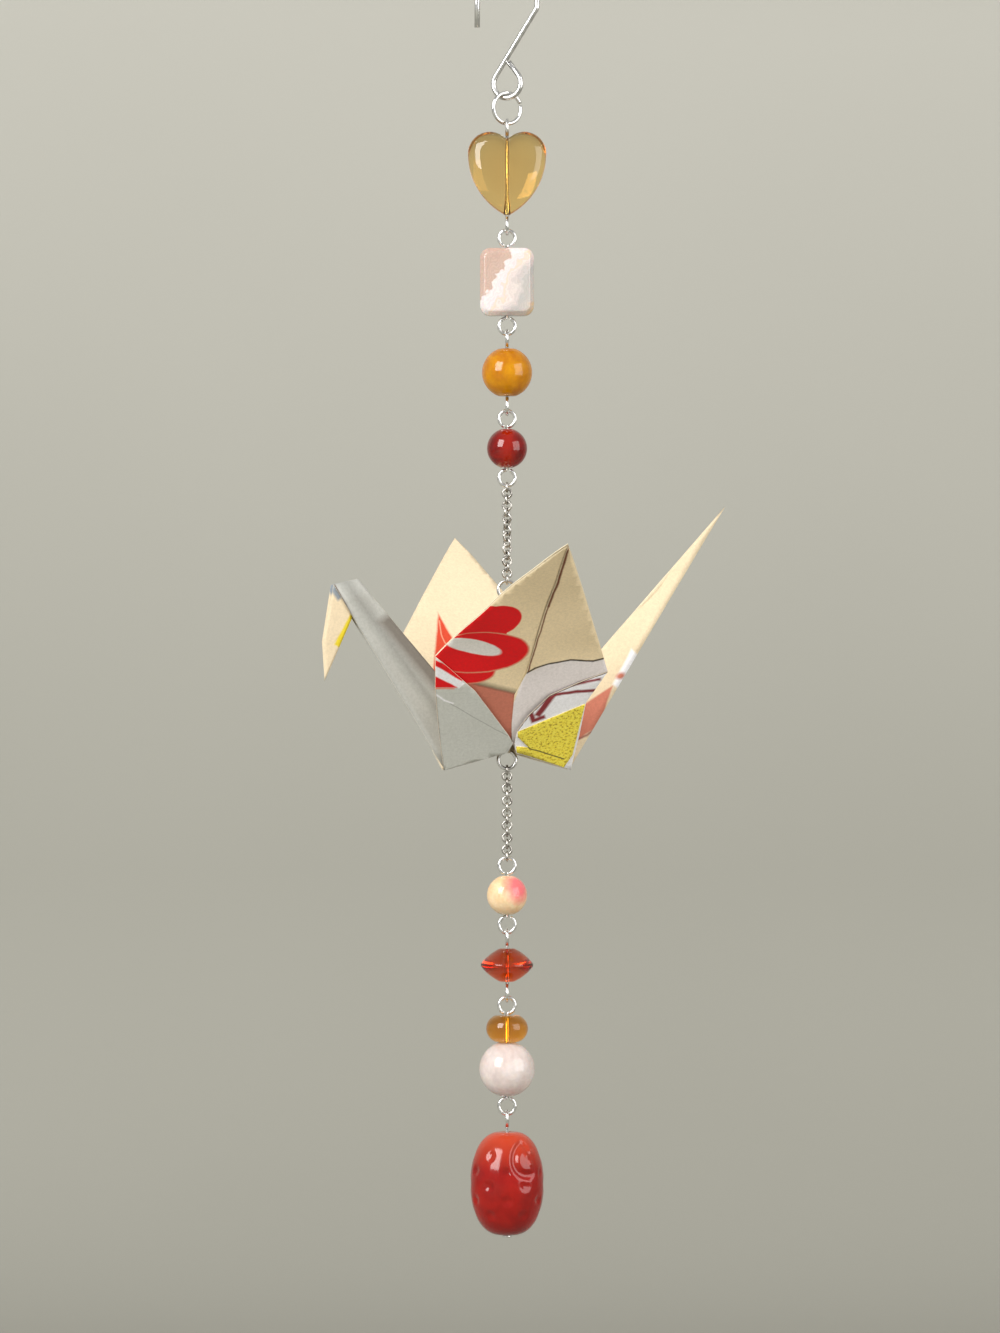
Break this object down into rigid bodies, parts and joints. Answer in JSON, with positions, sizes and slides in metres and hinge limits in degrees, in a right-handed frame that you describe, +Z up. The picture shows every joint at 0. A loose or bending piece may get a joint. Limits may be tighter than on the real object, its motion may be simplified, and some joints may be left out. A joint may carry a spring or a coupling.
{
  "type": "hanging origami crane ornament",
  "caption": "Folded paper crane on a wire pin, hung between fine chains and beads from an S-hook.",
  "frame": {"origin": "where the hook's bend bears on what carries it", "axes": "+Z up along the strand, crane's neck towards -X, one wing towards -Y"},
  "size_m": [0.0792, 0.0961, 0.2518],
  "materials": {
    "hook_wire": "bright wire",
    "pin_wire": "bright wire",
    "chain_wire": "aged silver tone",
    "crane_paper": "printed paper with a soft sheen",
    "heart_glass": "clear amber, polished",
    "agate_stone": "banded, polished",
    "yellow_stone": "polished",
    "red_stone": "polished, translucent",
    "peach_stone": "polished",
    "lentil_glass": "polished",
    "rondelle_glass": "clear amber, polished",
    "white_stone": "milky, polished",
    "carved_stone": "carved, polished"
  },
  "bodies": {
    "hook": {"s_hook": "hook_wire"},
    "jump_ring": {"jump_ring": "hook_wire"},
    "heart_pin": {"heart_eye_pin": "pin_wire"},
    "agate_pin": {"agate_eye_pin": "pin_wire"},
    "yellow_pin": {"yellow_eye_pin": "pin_wire"},
    "red_pin": {"red_eye_pin": "pin_wire"},
    "upper_link_01": {"upper_chain_link_01": "chain_wire"},
    "upper_link_02": {"upper_chain_link_02": "chain_wire"},
    "upper_link_03": {"upper_chain_link_03": "chain_wire"},
    "upper_link_04": {"upper_chain_link_04": "chain_wire"},
    "upper_link_05": {"upper_chain_link_05": "chain_wire"},
    "upper_link_06": {"upper_chain_link_06": "chain_wire"},
    "upper_link_07": {"upper_chain_link_07": "chain_wire"},
    "upper_link_08": {"upper_chain_link_08": "chain_wire"},
    "upper_link_09": {"upper_chain_link_09": "chain_wire"},
    "upper_link_10": {"upper_chain_link_10": "chain_wire"},
    "upper_link_11": {"upper_chain_link_11": "chain_wire"},
    "upper_link_12": {"upper_chain_link_12": "chain_wire"},
    "upper_link_13": {"upper_chain_link_13": "chain_wire"},
    "upper_link_14": {"upper_chain_link_14": "chain_wire"},
    "upper_link_15": {"upper_chain_link_15": "chain_wire"},
    "upper_link_16": {"upper_chain_link_16": "chain_wire"},
    "crane_pin": {"crane_eye_pin": "chain_wire"},
    "lower_link_01": {"lower_chain_link_01": "chain_wire"},
    "lower_link_02": {"lower_chain_link_02": "chain_wire"},
    "lower_link_03": {"lower_chain_link_03": "chain_wire"},
    "lower_link_04": {"lower_chain_link_04": "chain_wire"},
    "lower_link_05": {"lower_chain_link_05": "chain_wire"},
    "lower_link_06": {"lower_chain_link_06": "chain_wire"},
    "lower_link_07": {"lower_chain_link_07": "chain_wire"},
    "lower_link_08": {"lower_chain_link_08": "chain_wire"},
    "lower_link_09": {"lower_chain_link_09": "chain_wire"},
    "lower_link_10": {"lower_chain_link_10": "chain_wire"},
    "lower_link_11": {"lower_chain_link_11": "chain_wire"},
    "lower_link_12": {"lower_chain_link_12": "chain_wire"},
    "lower_link_13": {"lower_chain_link_13": "chain_wire"},
    "lower_link_14": {"lower_chain_link_14": "chain_wire"},
    "lower_link_15": {"lower_chain_link_15": "chain_wire"},
    "peach_pin": {"peach_eye_pin": "pin_wire"},
    "lentil_pin": {"lentil_eye_pin": "pin_wire"},
    "white_pin": {"white_eye_pin": "pin_wire"},
    "carved_pin": {"carved_head_pin": "pin_wire"},
    "heart": {"heart_bead": "heart_glass"},
    "agate": {"agate_bead": "agate_stone"},
    "yellow": {"yellow_bead": "yellow_stone"},
    "red": {"red_bead": "red_stone"},
    "crane": {"paper_crane": "crane_paper"},
    "peach": {"peach_bead": "peach_stone"},
    "lentil": {"lentil_bead": "lentil_glass"},
    "rondelle": {"amber_rondelle": "rondelle_glass"},
    "white": {"white_bead": "white_stone"},
    "carved": {"carved_bead": "carved_stone"}
  },
  "joints": [
    {"name": "jump_ring_swing", "type": "hinge", "parent": "hook", "child": "jump_ring", "pos_m": [0, 0, -0.02702], "axis": [0.4695, -0.8829, 0], "range_deg": [-45, 45]},
    {"name": "heart_pin_swing", "type": "hinge", "parent": "jump_ring", "child": "heart_pin", "pos_m": [0, 0, -0.0309], "axis": [1, 0, 0], "range_deg": [-40, 40]},
    {"name": "agate_pin_swing", "type": "hinge", "parent": "heart_pin", "child": "agate_pin", "pos_m": [0, 0, -0.0528], "axis": [0, -1, 0], "range_deg": [-60, 60]},
    {"name": "yellow_pin_swing", "type": "hinge", "parent": "agate_pin", "child": "yellow_pin", "pos_m": [0, 0, -0.07268], "axis": [-1, 0, 0], "range_deg": [-60, 60]},
    {"name": "red_pin_swing", "type": "hinge", "parent": "yellow_pin", "child": "red_pin", "pos_m": [0, 0, -0.08855], "axis": [0, 1, 0], "range_deg": [-60, 60]},
    {"name": "upper_link_01_swing", "type": "hinge", "parent": "red_pin", "child": "upper_link_01", "pos_m": [0, 0, -0.10211], "axis": [-0.9957, 0.0923, 0], "range_deg": [-18, 18]},
    {"name": "upper_link_02_swing", "type": "hinge", "parent": "upper_link_01", "child": "upper_link_02", "pos_m": [0, 0, -0.10333], "axis": [0.1838, 0.983, 0], "range_deg": [-60, 60]},
    {"name": "upper_link_03_swing", "type": "hinge", "parent": "upper_link_02", "child": "upper_link_03", "pos_m": [0, 0, -0.10454], "axis": [0.9618, -0.2737, 0], "range_deg": [-60, 60]},
    {"name": "upper_link_04_swing", "type": "hinge", "parent": "upper_link_03", "child": "upper_link_04", "pos_m": [0, 0, -0.10576], "axis": [-0.3612, -0.9325, 0], "range_deg": [-60, 60]},
    {"name": "upper_link_05_swing", "type": "hinge", "parent": "upper_link_04", "child": "upper_link_05", "pos_m": [0, 0, -0.10698], "axis": [0.8952, -0.4457, 0], "range_deg": [-60, 60]},
    {"name": "upper_link_06_swing", "type": "hinge", "parent": "upper_link_05", "child": "upper_link_06", "pos_m": [0, 0, -0.1082], "axis": [0.5264, 0.8502, 0], "range_deg": [-60, 60]},
    {"name": "upper_link_07_swing", "type": "hinge", "parent": "upper_link_06", "child": "upper_link_07", "pos_m": [0, 0, -0.10942], "axis": [0.798, -0.6026, 0], "range_deg": [-60, 60]},
    {"name": "upper_link_08_swing", "type": "hinge", "parent": "upper_link_07", "child": "upper_link_08", "pos_m": [0, 0, -0.11064], "axis": [-0.6737, -0.739, 0], "range_deg": [-60, 60]},
    {"name": "upper_link_09_swing", "type": "hinge", "parent": "upper_link_08", "child": "upper_link_09", "pos_m": [0, 0, -0.11187], "axis": [0.6737, -0.739, 0], "range_deg": [-60, 60]},
    {"name": "upper_link_10_swing", "type": "hinge", "parent": "upper_link_09", "child": "upper_link_10", "pos_m": [0, 0, -0.11309], "axis": [-0.798, -0.6026, 0], "range_deg": [-60, 60]},
    {"name": "upper_link_11_swing", "type": "hinge", "parent": "upper_link_10", "child": "upper_link_11", "pos_m": [0, 0, -0.11431], "axis": [-0.5264, 0.8502, 0], "range_deg": [-60, 60]},
    {"name": "upper_link_12_swing", "type": "hinge", "parent": "upper_link_11", "child": "upper_link_12", "pos_m": [0, 0, -0.11553], "axis": [0.8952, 0.4457, 0], "range_deg": [-60, 60]},
    {"name": "upper_link_13_swing", "type": "hinge", "parent": "upper_link_12", "child": "upper_link_13", "pos_m": [0, 0, -0.11675], "axis": [0.3612, -0.9325, 0], "range_deg": [-60, 60]},
    {"name": "upper_link_14_swing", "type": "hinge", "parent": "upper_link_13", "child": "upper_link_14", "pos_m": [0, 0, -0.11797], "axis": [0.9618, 0.2737, 0], "range_deg": [-60, 60]},
    {"name": "upper_link_15_swing", "type": "hinge", "parent": "upper_link_14", "child": "upper_link_15", "pos_m": [0, 0, -0.11918], "axis": [0.1838, -0.983, 0], "range_deg": [-60, 60]},
    {"name": "upper_link_16_swing", "type": "hinge", "parent": "upper_link_15", "child": "upper_link_16", "pos_m": [0, 0, -0.1204], "axis": [-0.9957, -0.0923, 0], "range_deg": [-18, 18]},
    {"name": "crane_pin_swing", "type": "hinge", "parent": "upper_link_16", "child": "crane_pin", "pos_m": [0, 0, -0.1224], "axis": [0, 1, 0], "range_deg": [-45, 45]},
    {"name": "lower_link_01_swing", "type": "hinge", "parent": "crane_pin", "child": "lower_link_01", "pos_m": [0, 0, -0.1581], "axis": [-1, 0, 0], "range_deg": [-18, 18]},
    {"name": "lower_link_02_swing", "type": "hinge", "parent": "lower_link_01", "child": "lower_link_02", "pos_m": [0, 0, -0.15932], "axis": [0, 1, 0], "range_deg": [-60, 60]},
    {"name": "lower_link_03_swing", "type": "hinge", "parent": "lower_link_02", "child": "lower_link_03", "pos_m": [0, 0, -0.16054], "axis": [1, 0, 0], "range_deg": [-60, 60]},
    {"name": "lower_link_04_swing", "type": "hinge", "parent": "lower_link_03", "child": "lower_link_04", "pos_m": [0, 0, -0.16176], "axis": [0, 1, 0], "range_deg": [-60, 60]},
    {"name": "lower_link_05_swing", "type": "hinge", "parent": "lower_link_04", "child": "lower_link_05", "pos_m": [0, 0, -0.16298], "axis": [-1, 0, 0], "range_deg": [-60, 60]},
    {"name": "lower_link_06_swing", "type": "hinge", "parent": "lower_link_05", "child": "lower_link_06", "pos_m": [0, 0, -0.1642], "axis": [0, -1, 0], "range_deg": [-60, 60]},
    {"name": "lower_link_07_swing", "type": "hinge", "parent": "lower_link_06", "child": "lower_link_07", "pos_m": [0, 0, -0.16542], "axis": [1, 0, 0], "range_deg": [-60, 60]},
    {"name": "lower_link_08_swing", "type": "hinge", "parent": "lower_link_07", "child": "lower_link_08", "pos_m": [0, 0, -0.16664], "axis": [0, -1, 0], "range_deg": [-60, 60]},
    {"name": "lower_link_09_swing", "type": "hinge", "parent": "lower_link_08", "child": "lower_link_09", "pos_m": [0, 0, -0.16786], "axis": [-1, 0, 0], "range_deg": [-60, 60]},
    {"name": "lower_link_10_swing", "type": "hinge", "parent": "lower_link_09", "child": "lower_link_10", "pos_m": [0, 0, -0.16909], "axis": [0, -1, 0], "range_deg": [-60, 60]},
    {"name": "lower_link_11_swing", "type": "hinge", "parent": "lower_link_10", "child": "lower_link_11", "pos_m": [0, 0, -0.17031], "axis": [1, 0, 0], "range_deg": [-60, 60]},
    {"name": "lower_link_12_swing", "type": "hinge", "parent": "lower_link_11", "child": "lower_link_12", "pos_m": [0, 0, -0.17153], "axis": [0, 1, 0], "range_deg": [-60, 60]},
    {"name": "lower_link_13_swing", "type": "hinge", "parent": "lower_link_12", "child": "lower_link_13", "pos_m": [0, 0, -0.17275], "axis": [-1, 0, 0], "range_deg": [-60, 60]},
    {"name": "lower_link_14_swing", "type": "hinge", "parent": "lower_link_13", "child": "lower_link_14", "pos_m": [0, 0, -0.17397], "axis": [0, -1, 0], "range_deg": [-60, 60]},
    {"name": "lower_link_15_swing", "type": "hinge", "parent": "lower_link_14", "child": "lower_link_15", "pos_m": [0, 0, -0.17519], "axis": [1, 0, 0], "range_deg": [-18, 18]},
    {"name": "peach_pin_swing", "type": "hinge", "parent": "lower_link_15", "child": "peach_pin", "pos_m": [0, 0, -0.17703], "axis": [0, 1, 0], "range_deg": [-60, 60]},
    {"name": "lentil_pin_swing", "type": "hinge", "parent": "peach_pin", "child": "lentil_pin", "pos_m": [0, 0, -0.19121], "axis": [1, 0, 0], "range_deg": [-60, 60]},
    {"name": "white_pin_swing", "type": "hinge", "parent": "lentil_pin", "child": "white_pin", "pos_m": [0, 0, -0.20469], "axis": [0, -1, 0], "range_deg": [-60, 60]},
    {"name": "carved_pin_swing", "type": "hinge", "parent": "white_pin", "child": "carved_pin", "pos_m": [0, 0, -0.22712], "axis": [1, 0, 0], "range_deg": [-60, 60]},
    {"name": "heart_spin", "type": "hinge", "parent": "heart_pin", "child": "heart", "pos_m": [0, 0, -0.0414], "axis": [0, 0, 1], "range_deg": [-20, 20]},
    {"name": "agate_spin", "type": "hinge", "parent": "agate_pin", "child": "agate", "pos_m": [0, 0, -0.0615], "axis": [0, 0, 1], "continuous": true},
    {"name": "yellow_spin", "type": "hinge", "parent": "yellow_pin", "child": "yellow", "pos_m": [0, 0, -0.07938], "axis": [0, 0, 1], "continuous": true},
    {"name": "red_spin", "type": "hinge", "parent": "red_pin", "child": "red", "pos_m": [0, 0, -0.09441], "axis": [0, 0, 1], "continuous": true},
    {"name": "crane_spin", "type": "hinge", "parent": "crane_pin", "child": "crane", "pos_m": [0, 0, -0.15421], "axis": [0, 0, 1], "continuous": true},
    {"name": "peach_spin", "type": "hinge", "parent": "peach_pin", "child": "peach", "pos_m": [0, 0, -0.18288], "axis": [0, 0, 1], "continuous": true},
    {"name": "lentil_spin", "type": "hinge", "parent": "lentil_pin", "child": "lentil", "pos_m": [0, 0, -0.19672], "axis": [0, 0, 1], "continuous": true},
    {"name": "rondelle_spin", "type": "hinge", "parent": "white_pin", "child": "rondelle", "pos_m": [0, 0, -0.2093], "axis": [0, 0, 1], "continuous": true},
    {"name": "white_spin", "type": "hinge", "parent": "white_pin", "child": "white", "pos_m": [0, 0, -0.21729], "axis": [0, 0, 1], "continuous": true},
    {"name": "carved_spin", "type": "hinge", "parent": "carved_pin", "child": "carved", "pos_m": [0, 0, -0.23992], "axis": [0, 0, 1], "continuous": true}
  ]
}
